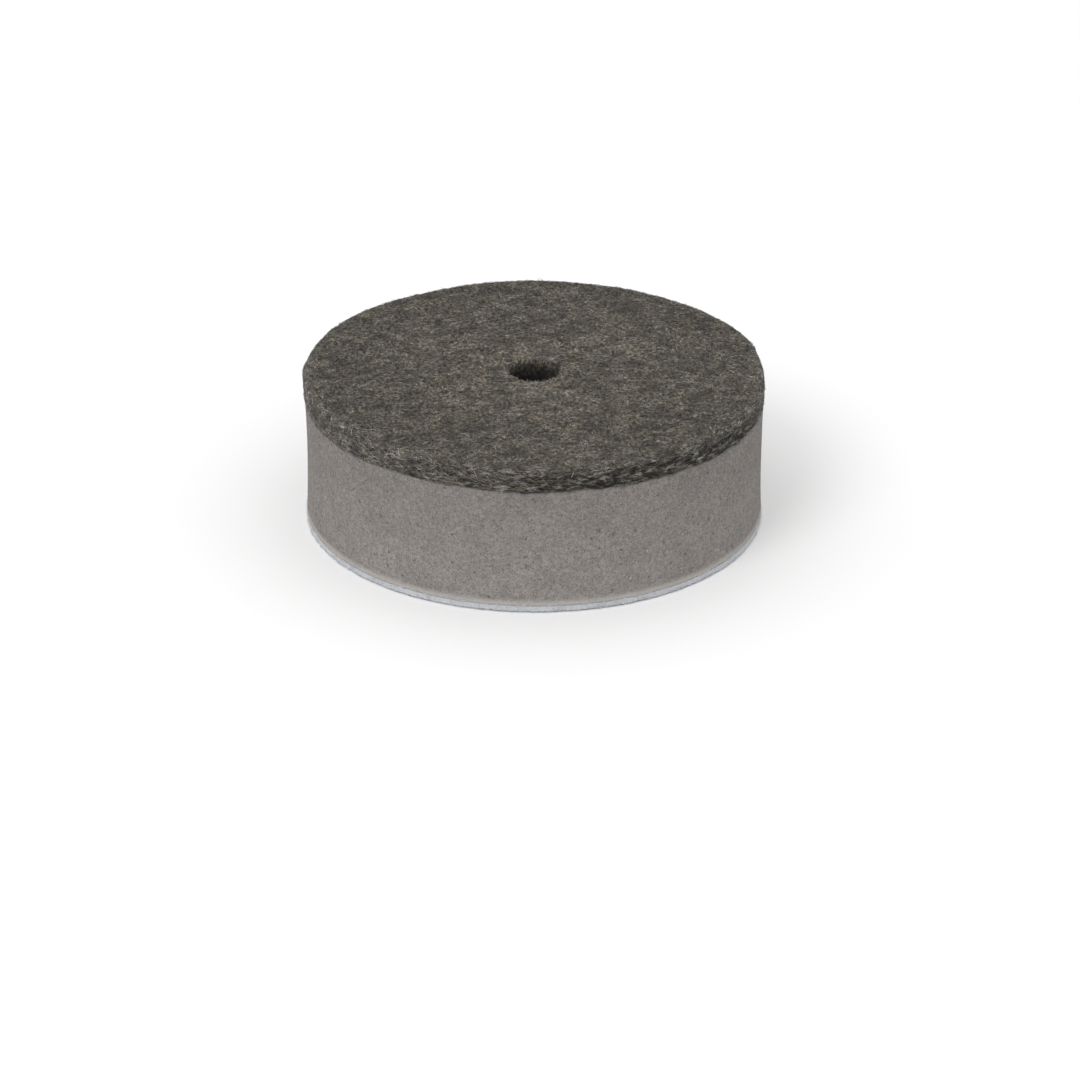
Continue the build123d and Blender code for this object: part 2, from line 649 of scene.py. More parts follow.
@dataclass(frozen=True)
class FoamFinish:
    """Cut open-cell foam: fine cells, a few open voids, and a slightly cloudy dye.

    Attributes:
        layer: The layer, whose upper part and hole are painted in shade.
        name: The material's name.
        skin: Colour of the cut cell walls.
        pore_shade: Colour inside an open cell, a painted shade.
        foot_colour: Lighter colour that the foam takes towards its foot.
        lightened_foot: How far up from the foot it lightens.
        glint: Colour of a wall that faces the light.
        cell: Size of a cell.
        void: Spacing of the larger voids.
        glints: Spacing of the bright walls.
        mottles: Its cloudiness, from coarse to fine.
        lower: Brightness at the foot of the foam, painted light from the table.
        upper: Brightness under the felt, painted shade.
    """

    layer: Layer
    name: str = "open_cell_foam"
    skin: Colour = (0.228, 0.211, 0.199)
    pore_shade: Colour = (0.070, 0.064, 0.059)
    foot_colour: Colour = (0.410, 0.388, 0.368)
    lightened_foot: float = 1.3 * MM
    glint: Colour = (0.62, 0.60, 0.57)
    cell: float = 0.36 * MM
    void: float = 1.15 * MM
    glints: float = 3.2 * MM
    mottles: tuple[Mottle, ...] = (
        Mottle(5.0 * MM, 0.95, 1.04, detail=3.0),
        Mottle(0.75 * MM, 0.90, 1.09),
        Mottle(0.27 * MM, 0.83, 1.18),
    )
    lower: float = 1.06
    upper: float = 0.90

    def material(self) -> Material:
        """Builds the material."""
        board = Board(self.name, 0.95, shine=0.08)
        even = board.add("RGB", {}).outputs[0]
        even.default_value = (*self.skin, 1.0)
        colour = board.mottle(even, self.mottles)
        for size, share, reach, strength in (
            (self.cell, 0.76, 0.44, 0.66),
            (self.cell * 0.62, 0.66, 0.46, 0.50),
            (self.void, 0.84, 0.26, 0.70),
        ):
            # Open cells and voids are painted with the pore colour, as the shade inside them.
            holes = board.cells(board.place, size)
            lot = board.add("SeparateColor", {0: holes.outputs["Color"]}).outputs[0]
            open_cell = board.sums("GREATER_THAN", lot, share)
            inside = board.span(holes.outputs["Distance"], reach * 0.4, reach, strength, 0)
            colour = board.blend(board.sums("MULTIPLY", open_cell, inside), colour, self.pore_shade)
        walls = board.cells(board.place, self.glints)
        bright = board.span(walls.outputs["Distance"], 0.02, 0.05, 0.8, 0)
        colour = board.blend(bright, colour, self.glint)
        board.paint(self._shaded(board, colour))
        edges = board.cells(board.place, self.cell, "DISTANCE_TO_EDGE").outputs["Distance"]
        board.emboss(board.span(edges, 0.0, 0.25, 1, 0), 0.05 * MM, 0.7)
        return board.material

    def _shaded(self, board: Board, colour: Socket) -> Socket:
        """Lightens the foot, paints shade into the hole, and paints shade towards the felt and light from
        the table at the foot.
        """
        layer = self.layer
        # Painted shade in the hole.
        inside = board.span(board.radius(), layer.hole_radius, layer.hole_radius + 1 * MM, 0.06, 1.0)
        height = board.height()
        # The foam lightens towards its foot.
        lightened_foot = board.span(height, layer.bottom, layer.bottom + self.lightened_foot, 0.85, 0)
        colour = board.blend(lightened_foot, colour, self.foot_colour)
        # Painted shade under the felt, and painted light from the table at the foot.
        height_shade = board.span(height, layer.bottom, layer.top, self.lower, self.upper)
        return board.dim(colour, board.sums("MULTIPLY", inside, height_shade))


@dataclass(frozen=True)
class KnitFinish:
    """A warp-knit ground: wales along Y, courses across them, in off-white yarn, fuzzy at the cut.

    Attributes:
        rim: Radius of the cut.
        name: The material's name.
        yarn: Colour of the yarn.
        shadow: Colour between the stitches.
        wale: Distance between the wales.
        course: Distance between the courses.
    """

    rim: float
    name: str = "warp_knit_ground"
    yarn: Colour = (0.50, 0.515, 0.545)
    shadow: Colour = (0.32, 0.335, 0.36)
    wale: float = 0.9 * MM
    course: float = 0.65 * MM

    def material(self) -> Material:
        """Builds the material."""
        board = Board(self.name, 0.85, 0.2)
        split = board.add("SeparateXYZ", {0: board.place})
        wales = board.sums("SINE", board.sums("MULTIPLY", split.outputs[0], FULL_TURN / self.wale))
        sway = board.sums("MULTIPLY", split.outputs[1], FULL_TURN / self.course)
        courses = board.sums("SINE", board.sums("ADD", sway, board.sums("MULTIPLY", wales, 1.3)))
        relief = board.sums("ADD", wales, board.sums("MULTIPLY", courses, 0.6))
        fuzz = board.noise(board.place, 0.15 * MM, 2)
        height = board.sums("ADD", relief, fuzz)
        knit = board.span(height, -0.9, 1.2, 0, 1)
        at_cut = board.span(board.radius(), self.rim - 0.5 * MM, self.rim - 0.2 * MM, 0, 1)
        light = board.add("Mix", {0: at_cut, 2: knit, 3: board.span(fuzz, 0.3, 0.6, 0.55, 1)}).outputs[0]
        board.paint(board.blend(light, self.shadow, self.yarn))
        board.emboss(height, 0.06 * MM, 0.8)
        return board.material


@dataclass(frozen=True)
class FilmFinish:
    """Hot-melt adhesive film: milky, slightly yellow, with the melt's flow marks."""

    name: str
    clear: Colour = (0.46, 0.44, 0.41)
    cloudy: Colour = (0.56, 0.54, 0.51)

    def material(self) -> Material:
        """Builds the material."""
        board = Board(self.name, 0.4)
        flow = board.noise(board.stretched((1, 0.3, 1)), 0.9 * MM, 3)
        board.paint(board.blend(board.span(flow, 0.35, 0.65, 0, 1), self.clear, self.cloudy))
        board.roughen(board.span(flow, 0.3, 0.7, 0.3, 0.55))
        board.emboss(flow, 0.04 * MM, 0.5)
        return board.material


FELT_FIBRES = FibreFinish(
    "needled_felt_fibres",
    (
        (0.00, (0.031, 0.025, 0.018)),
        (0.22, (0.075, 0.063, 0.046)),
        (0.50, (0.133, 0.117, 0.094)),
        (0.72, (0.188, 0.171, 0.144)),
        (0.90, (0.268, 0.251, 0.224)),
        (1.00, (0.490, 0.470, 0.440)),
    ),
    FACE_MOTTLES,
)
FELT_EDGE_FIBRES = FibreFinish(
    "needled_felt_edge_fibres",
    (
        (0.00, (0.028, 0.024, 0.019)),
        (0.25, (0.086, 0.077, 0.065)),
        (0.50, (0.170, 0.156, 0.135)),
        (0.80, (0.250, 0.233, 0.207)),
        (1.00, (0.345, 0.326, 0.297)),
    ),
    (EDGE_STREAKS, FLECKS, EDGE_PATCHES),
    hues=(WARM_GREY, SLATE),
)
LOOP_FILAMENTS = FibreFinish(
    "loop_filaments",
    ((0.0, (0.66, 0.668, 0.685)), (0.6, (0.74, 0.748, 0.765)), (1.0, (0.81, 0.815, 0.825))),
    (Mottle(1.2 * MM, 0.92, 1.0),),
    hues=((1.0, 1.0, 1.0), (0.96, 0.98, 1.0)),
    roughness=0.55,
    sheen=0.25,
)


# --- Washers ---


@dataclass(frozen=True)
class WasherBlank:
    """A die-cut washer with an even mesh, ready for its surface.

    Attributes:
        layer: The layer that it fills.
        segments: Steps round the axis.
        rim_cell: Distance between the rings of the rim.
        upper_cell: Distance between the rings of the upper face.
        lower_cell: Distance between the rings of the lower face.
        hole_cell: Distance between the rings of the hole's wall.
        shoulder: Radius of the rim's upper edge, or 0.
        lower_edge: Radius of the rim's lower edge, or 0.
        mouth: Radius of the hole's upper edge, or 0.
    """

    layer: Layer
    segments: int
    rim_cell: float
    upper_cell: float
    lower_cell: float
    hole_cell: float
    shoulder: float = 0.0
    lower_edge: float = 0.0
    mouth: float = 0.0

    def cut(self, name: str) -> Piece:
        """Models the washer.

        Args:
            name: The new object's name.

        Returns:
            A closed mesh whose faces point outwards.
        """
        layer = self.layer
        let_go()
        bpy.ops.mesh.primitive_cylinder_add(
            vertices=self.segments,
            radius=layer.radius,
            depth=layer.height,
            end_fill_type="NGON",
            location=(0, 0, layer.middle),
        )
        washer = bpy.context.object
        washer.name = washer.data.name = name
        bpy.ops.object.transform_apply(location=True, rotation=False, scale=False)
        with opened(washer):
            pick(washer, Element.FACE, lambda face: abs(face.normal.z) > 0.9)
            bpy.ops.mesh.inset(thickness=layer.radius - layer.hole_radius, depth=0)
            bpy.ops.mesh.delete(type="FACE")
            pick(washer, Element.EDGE, lambda edge: edge.is_boundary)
            bpy.ops.mesh.bridge_edge_loops()
            self._round(washer, layer.radius, layer.top, self.shoulder)
            self._round(washer, layer.radius, layer.bottom, self.lower_edge)
            self._round(washer, layer.hole_radius, layer.top, self.mouth)
            self._divide(washer)
            bpy.ops.mesh.select_all(action="SELECT")
            bpy.ops.mesh.normals_make_consistent(inside=False)
        bpy.ops.object.shade_smooth()
        return washer

    def _round(self, washer: Piece, radius: float, height: float, rounding: float) -> None:
        """Rounds the circular edge at a radius and a height, if its rounding isn't 0."""
        if not rounding:
            return

        def on_circle(edge: bmesh.types.BMEdge) -> bool:
            """Whether both ends are on the circle."""
            return all(
                abs(end.co.xy.length - radius) < 0.02 * MM and abs(end.co.z - height) < 0.02 * MM
                for end in edge.verts
            )

        pick(washer, Element.EDGE, on_circle)
        steps = max(2, round(rounding * HALF_TURN / 2 / self.rim_cell))
        bpy.ops.mesh.bevel(offset=rounding, segments=steps, affect="EDGES")

    def _divide(self, washer: Piece) -> None:
        """Divides the faces, the rim and the hole's wall into rings."""
        layer = self.layer
        across = (layer.radius - layer.hole_radius) / 2
        families = (
            (self.hole_cell, lambda a, b: self._stands(a, b) and a.xy.length < layer.radius / 2),
            (self.lower_cell, lambda a, b: max(a.z, b.z) < layer.middle and self._run(a, b) > across),
            (self.upper_cell, lambda a, b: min(a.z, b.z) > layer.middle and self._run(a, b) > across),
            (self.rim_cell, lambda a, b: self._stands(a, b) and a.xy.length > layer.radius / 2),
        )
        for cell, belongs in families:
            pick(washer, Element.EDGE, lambda edge: belongs(edge.verts[0].co, edge.verts[1].co))
            chosen = next(e for e in bmesh.from_edit_mesh(washer.data).edges if e.select)
            rings = round(chosen.calc_length() / cell)
            if rings > 1:
                bpy.ops.mesh.subdivide(number_cuts=rings - 1)

    def _run(self, start: Vector, end: Vector) -> float:
        """How much further out one end of a level edge is than the other."""
        return abs(start.xy.length - end.xy.length)

    def _stands(self, start: Vector, end: Vector) -> bool:
        """Whether an edge stands upright and spans most of the layer that isn't rounded."""
        straight = self.layer.height - self.shoulder - self.lower_edge
        return abs(start.z - end.z) > 0.8 * straight


# --- Filaments ---


@dataclass(frozen=True)
class Filament:
    """A short crimped filament, modelled a few times along X and then laid thousands of times.

    Attributes:
        length: Its straight length.
        radius: Its thickness, halved.
        links: Straight links along it.
        crimp: How far its crimp carries it to each side.
        crimp_length: Distance between its waves.
        patterns: How many different ones are modelled.
    """

    length: float
    radius: float
    links: int
    crimp: float
    crimp_length: float = 1.6 * MM
    patterns: int = 28

    def stock(self) -> "Stock":
        """Models every pattern, and returns them as a stock to lay."""
        texture = bpy.data.textures.new("crimp", "CLOUDS")
        texture.noise_scale = self.crimp_length
        texture.noise_depth = 1
        models = [self._model(texture, number * 11 * MM) for number in range(self.patterns)]
        stock = Stock.from_models(models)
        for model in models:
            bpy.data.meshes.remove(model.data)
        bpy.data.textures.remove(texture)
        return stock

    def _model(self, texture: bpy.types.Texture, aside: float) -> Piece:
        """Models one pattern: a fine tube, divided along its length and crimped both ways."""
        let_go()
        bpy.ops.mesh.primitive_cylinder_add(
            vertices=3,
            radius=self.radius,
            depth=self.length,
            end_fill_type="NGON",
            location=(0, aside, 0),
            rotation=(0, HALF_TURN / 2, 0),
        )
        tube = bpy.context.object
        bpy.ops.object.transform_apply(location=True, rotation=True, scale=False)
        with opened(tube):
            pick(tube, Element.EDGE, lambda edge: edge.calc_length() > self.length / 2)
            bpy.ops.mesh.subdivide(number_cuts=self.links - 1)
        for axis in Axis:
            apply_modifier(
                tube,
                "DISPLACE",
                texture=texture,
                direction=axis.value,
                strength=4 * self.crimp,
                mid_level=0.5,
            )
        return tube


@dataclass(frozen=True)
class Stock:
    """Small models that share one topology, ready to be copied.

    Attributes:
        places: For each model, its vertices about its middle.
        corners: The vertex at each face corner.
        sizes: How many corners each face has.
        layout: The primitive's own flat layout, for each face corner.
    """

    places: Values
    corners: Values
    sizes: Values
    layout: Values

    @classmethod
    def from_models(cls, models: Sequence[Piece]) -> "Stock":
        """Reads models that were made by the same steps.

        Args:
            models: Mesh objects with the same topology.

        Returns:
            The stock, with each model moved to its own middle.
        """
        mesh = models[0].data
        corners = np.empty(len(mesh.loops), dtype=np.int32)
        mesh.loops.foreach_get("vertex_index", corners)
        sizes = np.empty(len(mesh.polygons), dtype=np.int32)
        mesh.polygons.foreach_get("loop_total", sizes)
        layout = np.empty(len(mesh.loops) * 2)
        mesh.uv_layers[0].data.foreach_get("uv", layout)
        places = np.stack([vertices_of(model) for model in models])
        places -= places.mean(axis=1, keepdims=True)
        return cls(places, corners, sizes, layout.reshape(-1, 2))

    def pick(self, draw: np.random.Generator, count: int) -> Values:
        """Copies models at random, each rolled over and stretched a little.

        Args:
            draw: The seeded random numbers.
            count: How many copies.

        Returns:
            The vertices of each copy, lying along X at the origin.
        """
        copies = self.places[draw.integers(len(self.places), size=count)].copy()
        copies *= draw.choice((-1.0, 1.0), size=(count, 1, 3))
        copies[:, :, 0] *= draw.uniform(0.55, 1.15, size=(count, 1))
        return copies

    def join(self, name: str, copies: Values, lots: Values) -> Piece:
        """Joins placed copies into one piece.

        Args:
            name: The new object's name.
            copies: The vertices of each copy, in place.
            lots: A number from 0 to 1 for each copy, which its finish turns into a shade.

        Returns:
            The piece, with its faces pointing outwards.
        """
        count, points = copies.shape[:2]
        mesh = bpy.data.meshes.new(name)
        mesh.vertices.add(count * points)
        mesh.vertices.foreach_set("co", copies.reshape(-1))
        firsts = np.arange(count, dtype=np.int32)[:, None] * points
        mesh.loops.add(count * len(self.corners))
        mesh.loops.foreach_set("vertex_index", (self.corners[None] + firsts).reshape(-1))
        starts = np.concatenate(([0], np.cumsum(self.sizes)[:-1])).astype(np.int32)
        mesh.polygons.add(count * len(self.sizes))
        offsets = np.arange(count, dtype=np.int32)[:, None] * len(self.corners)
        mesh.polygons.foreach_set("loop_start", (starts[None] + offsets).reshape(-1))
        mesh.update(calc_edges=True)
        self._lay_out(mesh, count)
        shade = mesh.attributes.new(SHADE, "FLOAT", "POINT")
        shade.data.foreach_set("value", np.repeat(lots, points).astype(np.float32))
        piece = bpy.data.objects.new(name, mesh)
        bpy.context.collection.objects.link(piece)
        with opened(piece):
            bpy.ops.mesh.select_all(action="SELECT")
            bpy.ops.mesh.normals_make_consistent(inside=False)
        bpy.ops.object.shade_smooth()
        return piece

    def _lay_out(self, mesh: bpy.types.Mesh, count: int) -> None:
        """Gives each copy its own square of the flat layout."""
        side = math.ceil(math.sqrt(count))
        numbers = np.arange(count)
        squares = np.stack((numbers % side, numbers // side), axis=1)[:, None]
        layout = (squares + 0.04 + 0.92 * self.layout[None]) / side
        mesh.uv_layers.new(name=BAKE_LAYOUT).data.foreach_set("uv", layout.reshape(-1))


# --- The felt face ---


@dataclass
class FeltFace:
    """The needled felt disc: a lumpy ground, the fibres that lie on it and the streaky cut edge.

    Attributes:
        layer: The CAD layer that it fills.
        draw: Seeded random numbers for the lay of the fibres.
        shoulder: Rounding of the worn upper edge.
        lower_edge: Rounding of the lower edge.
        mouth: Rounding of the hole's mouth.
        sunk: How far the ground lies under the fibres' surface.
        lump: Height of the clumps that the needles leave.
        lump_sizes: How far apart the coarse clumps are, and the fine ones.
        tuft: Height of the finer tufts that the fibres gather into.
        tuft_size: How far apart the tufts are.
        nap: How far the face stands proud of its layer.
        crown: How much prouder it is towards the hole.
        waver: How far the cut wavers from a true circle.
        hem: How far the lower edge wavers up and down over the foam.
        groove: Depth of the gaps between the layers of fibre at the cut edge.
        gap: How far from the middle of a gap its side ends.
        past_hole: How far a face fibre may lie over the hole's edge.
        past_rim: How far it may hang over the rim.
        loose: Share of the face fibres that lift an end.
        raised: How far they lift it, at least and at most.
        hang: How far an edge fibre may hang under the felt.
        hole_depth: How far down the hole loose ends show.
        fibre: The filament that it is needled from.
        stub: The filament whose ends stand into the hole.
        sheets: How many pieces the face fibres are shared over.
        fibres_a_sheet: Fibres in each of those pieces.
        edge_fibres: Fibres along the cut edge.
        hole_fibres: Loose ends round the hole.
    """

    layer: Layer = field(default_factory=lambda: Layer.of_node("felt_face"))
    draw: np.random.Generator = field(default_factory=lambda: np.random.default_rng(41))
    shoulder: float = 0.75 * MM
    lower_edge: float = 0.3 * MM
    mouth: float = 0.28 * MM
    sunk: float = 0.12 * MM
    lump: float = 0.10 * MM
    lump_sizes: tuple[float, float] = (1.5 * MM, 0.7 * MM)
    tuft: float = 0.11 * MM
    tuft_size: float = 0.55 * MM
    nap: float = 0.20 * MM
    crown: float = 0.10 * MM
    waver: float = 0.27 * MM
    hem: float = 0.24 * MM
    groove: float = 0.58 * MM
    gap: float = 0.26 * MM
    past_hole: float = 1.3 * MM
    past_rim: float = 1.2 * MM
    loose: float = 0.07
    raised: tuple[float, float] = (0.15 * MM, 0.45 * MM)
    hang: float = 0.45 * MM
    hole_depth: float = 3.4 * MM
    fibre: Filament = Filament(3.6 * MM, 0.036 * MM, 7, 0.26 * MM, 1.05 * MM, 40)
    stub: Filament = Filament(1.0 * MM, 0.030 * MM, 4, 0.08 * MM, 0.8 * MM, 12)
    sheets: int = 4
    fibres_a_sheet: int = 4450
    edge_fibres: int = 4450
    hole_fibres: int = 1200

    def build(self) -> list[Piece]:
        """Builds every piece of the felt.

        Returns:
            The ground, the face fibres, the edge fibres and the loose ends.
        """
        layer = self.layer
        ground = self._ground()
        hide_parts(layer.node)
        stock = self.fibre.stock()
        mouth = layer.top + self.nap
        finish = replace(FELT_FIBRES, hole=layer.hole_radius, top=mouth, rim=layer.radius).material()
        pieces = [ground]
        for number in range(1, self.sheets + 1):
            pieces.append(self._face_fibres(f"felt_face_fibres_{number}", stock, finish))
        foot = layer.bottom - 0.2 * MM
        edge_finish = replace(FELT_EDGE_FIBRES, foot=foot, top=mouth, rim=layer.radius).material()
        pieces.append(self._edge_fibres("felt_edge_fibres", stock, edge_finish))
        pieces.append(self._hole_fibres("felt_hole_fibres", finish))
        return pieces

    def _ground(self) -> Piece:
        """Models the felt's body, with its clumps, its wavering cut and the gaps of its cut edge."""
        layer = self.layer
        cell = 0.36 * MM
        blank = WasherBlank(
            layer, 560, cell, cell, 2.5 * MM, cell, self.shoulder, self.lower_edge, self.mouth
        )
        ground = blank.cut("felt_body")
        places = vertices_of(ground)
        normals = vertices_of(ground, "normal")
        reach = reach_of(places)
        angle = bearing_of(places)
        coarse, fine = self.lump_sizes
        clumps = grain(places, coarse, 3.1) + 0.6 * grain(places, fine, 8.7)
        above = places[:, 2] > layer.bottom + 0.05 * MM
        rise = np.where(above, self.lump * clumps - self.sunk, 0)
        sideways = self.waviness(angle) - self.groove * self.strata(places)
        sideways *= self.at_rim(reach)
        moved = places + normals * rise[:, None]
        moved[:, :2] += places[:, :2] / reach[:, None] * sideways[:, None]
        at_edge = reach > layer.radius - 0.5 * MM
        moved[:, 2] += np.where(at_edge, self.droop(angle, places[:, 2]), 0)
        moved[:, 2] += self.proud(reach, places[:, 2])
        move_vertices(ground, moved)
        finish = FeltGroundFinish(layer, layer.radius - self.shoulder)
        return hand_over(ground, finish.material())

    def waviness(self, angle: Values) -> Values:
        """How far the cut wavers outwards at each angle."""
        slow = ((3, 0.30, 5.2), (6, 0.55, 4.6), (9, 0.37, 4.6))
        quick = ((16, 0.20, 2.2), (29, 0.16, 5.3), (47, 0.12, 0.4))
        return self.waver * (ripple(angle, slow + quick) + 0.35)

    def at_rim(self, reach: Values) -> Values:
        """How fully the cut's wavering is felt at a distance from the axis, from 0 to 1."""
        return ease(0.6, 1.0, reach / self.layer.radius)

    def proud(self, reach: Values, height: Values) -> Values:
        """How far the nap and the crown raise each place, from nothing at the foot."""
        crowned = self.nap + self.crown * (1 - ease(0.0, 1.0, reach / self.layer.radius))
        return crowned * ease(self.layer.bottom, self.layer.top, height)

    def droop(self, angle: Values, height: Values) -> Values:
        """How far the cut edge is carried up or down, most of all at its lower edge."""
        wave = ripple(angle, ((13, 0.42, 0.6), (24, 0.38, 3.9), (41, 0.34, 1.3), (77, 0.26, 2.8))) - 0.3
        return self.hem * wave * (1 - ease(self.layer.bottom, self.layer.middle, height))

    def strata(self, places: Values) -> Values:
        """How far each place is into a gap between the layers of fibre at the cut edge, from 0 to 1."""
        angle = bearing_of(places)
        depth = np.zeros(angle.shape)
        for level, times, start in ((0.24, 7, 0.0), (0.47, 11, 2.0), (0.68, 8, 4.4)):
            wander = 0.20 * MM * np.sin(times * angle + start) + 0.12 * MM * np.sin(2.7 * times * angle)
            height = self.layer.bottom + level * self.layer.height + wander
            present = ease(-0.2, 0.7, np.sin((times + 4) * angle + 3 * start))
            near = 1 - ease(0.03 * MM, self.gap, np.abs(places[..., 2] - height))
            depth = np.maximum(depth, near * present)
        return depth * (0.3 + 0.7 * self.torn_shaded(angle))

    def torn_shaded(self, angle: Values) -> Values:
        """How ragged the cut edge is at each angle, from 0 to 1, most on the side that the edge's finish
        paints in shade.
        """
        return ease(0.1, 0.75, np.cos(angle - TORN_SHADED_SIDE))

    def tufts(self, across: Values, along: Values) -> Values:
        """How far the tufts lift each point of the face."""
        points = np.stack((across, along, np.zeros_like(across)), axis=-1).reshape(-1, 3)
        return self.tuft * grain(points, self.tuft_size, 12.9).reshape(across.shape)

    def wrap(self, across: Values, along: Values, lift: Values) -> Values:
        """Lays points of a flat plane on the felt, over its shoulder and into the mouth of its hole.

        Args:
            across: X in the plane.
            along: Y in the plane.
            lift: Height above the felt.

        Returns:
            Rows of X, Y and Z on the felt.
        """
        reach = np.hypot(across, along)
        shoulder_start = self.layer.radius - self.shoulder
        mouth_start = self.layer.hole_radius + self.mouth
        over = self._round_over(np.maximum(reach - shoulder_start, 0), self.shoulder)
        into = self._round_over(np.maximum(mouth_start - reach, 0), self.mouth)
        radius = np.clip(reach, mouth_start, shoulder_start) + over[0] - into[0]
        height = self.layer.top - over[1] - into[1]
        lean = over[2] - into[2]
        radius = radius + lift * np.sin(lean)
        height = height + lift * np.cos(lean)
        angle = np.arctan2(along, across)
        height = height + np.where(lean > 0.9, self.droop(angle, height), 0) + self.proud(radius, height)
        radius = radius + self.waviness(angle) * self.at_rim(radius)
        return np.stack((radius * np.cos(angle), radius * np.sin(angle), height), axis=-1)

    def _round_over(self, distance: Values, rounding: float) -> tuple[Values, Values, Values]:
        """Follows a rounded edge: how far out and down a distance carries, and the lean there."""
        turn = np.minimum(distance / rounding, HALF_TURN / 2)
        straight = np.maximum(distance - rounding * HALF_TURN / 2, 0)
        return rounding * np.sin(turn), rounding * (1 - np.cos(turn)) + straight, turn

    def _face_fibres(self, name: str, stock: Stock, finish: Material) -> Piece:
        """Lays fibres in every direction on the face. A few lift an end off it."""
        layer = self.layer
        spare = round(1.4 * self.fibres_a_sheet)
        copies = stock.pick(self.draw, spare)
        turn = all_round(self.draw, spare)
        span = self.draw.uniform((layer.hole_radius / layer.radius) ** 2, 1.03, size=(spare, 1))
        centre = layer.radius * np.sqrt(span)
        bearing = all_round(self.draw, spare)
        across, along = turned(copies[..., 0], copies[..., 1], turn)
        across, along = across + centre * np.cos(bearing), along + centre * np.sin(bearing)
        reach = np.hypot(across, along)
        clear = reach.min(axis=1) > layer.hole_radius - self.past_hole
        fits = reach.max(axis=1) < layer.radius + self.past_rim
        kept = np.flatnonzero(clear & fits)[: self.fibres_a_sheet]
        across, along, copies = across[kept], along[kept], copies[kept]
        depth = self.draw.uniform(-0.15, 0.03, size=(len(kept), 1)) * MM
        loose = self.draw.random((len(kept), 1)) < self.loose
        raised = loose * self.draw.uniform(*self.raised, (len(kept), 1))
        tip = np.clip(copies[..., 0] / self.fibre.length * 2, -1, 1)
        lift = depth + 0.6 * copies[..., 2] + raised * ease(0.1, 1.0, tip) + self.tufts(across, along)
        placed = self.wrap(across, along, lift)
        lots = self.draw.beta(2.2, 2.4, size=len(kept))
        return hand_over(stock.join(name, placed, lots), finish)

    def _edge_fibres(self, name: str, stock: Stock, finish: Material) -> Piece:
        """Lays fibres round the cut edge, mostly level, and out of the gaps between its layers."""
        layer = self.layer
        spare = 2 * self.edge_fibres
        copies = stock.pick(self.draw, spare)
        copies[..., 1] *= 0.8
        bearing = all_round(self.draw, spare)
        tilt = self.draw.normal(0, 1, size=(spare, 1)) * (0.95 - 0.62 * self.torn_shaded(bearing))
        round_edge = self.shoulder * HALF_TURN / 2
        drop_length = round_edge + layer.height - self.shoulder
        drop = self.draw.uniform(-0.3 * MM, drop_length + 0.05 * MM, size=(spare, 1))
        level, down = turned(copies[..., 0], copies[..., 1], tilt)
        angle = bearing + level / layer.radius
        lift = self.draw.uniform(-0.15, 0.04, size=(spare, 1)) * MM + 0.4 * copies[..., 2]
        reach = layer.radius - self.shoulder + drop + down
        placed = self.wrap(reach * np.cos(angle), reach * np.sin(angle), lift)
        in_gap = self.strata(placed).mean(axis=1) > self.draw.uniform(0.08, 0.55, size=spare)
        below = placed[..., 2].min(axis=1) < layer.bottom - self.hang
        kept = np.flatnonzero(~in_gap & ~below)[: self.edge_fibres]
        lots = self.draw.beta(2.4, 2.3, size=len(kept))
        return hand_over(stock.join(name, placed[kept], lots), finish)

    def _hole_fibres(self, name: str, finish: Material) -> Piece:
        """Leaves cut ends that stand into the hole, and a few along the top of it."""
        layer = self.layer
        stock = self.stub.stock()
        count = self.hole_fibres
        copies = stock.pick(self.draw, count)
        bearing = all_round(self.draw, count)
        yaw = self.draw.normal(0, 0.8, size=(count, 1))
        pitch = self.draw.normal(0.1, 0.3, size=(count, 1))
        level = layer.top + self.nap - self.draw.power(0.4, size=(count, 1)) * self.hole_depth
        inward = copies[..., 0] + 0.20 * self.stub.length
        near_mouth = np.clip((level - layer.top + 1.0 * MM) / MM, 0, 1)
        root = layer.hole_radius + (0.55 - 0.26 * near_mouth) * MM
        radial = root - inward * np.cos(yaw) * np.cos(pitch)
        aside = inward * np.sin(yaw) + copies[..., 1]
        height = level + inward * np.sin(pitch) + copies[..., 2]
        height = np.minimum(height, layer.top + self.nap + self.crown + 0.1 * MM)
        placed = np.stack((*turned(radial, aside, bearing), height), axis=-1)
        lots = self.draw.beta(2.4, 1.6, size=count)
        return hand_over(stock.join(name, placed, lots), finish)


# --- The foam core ---


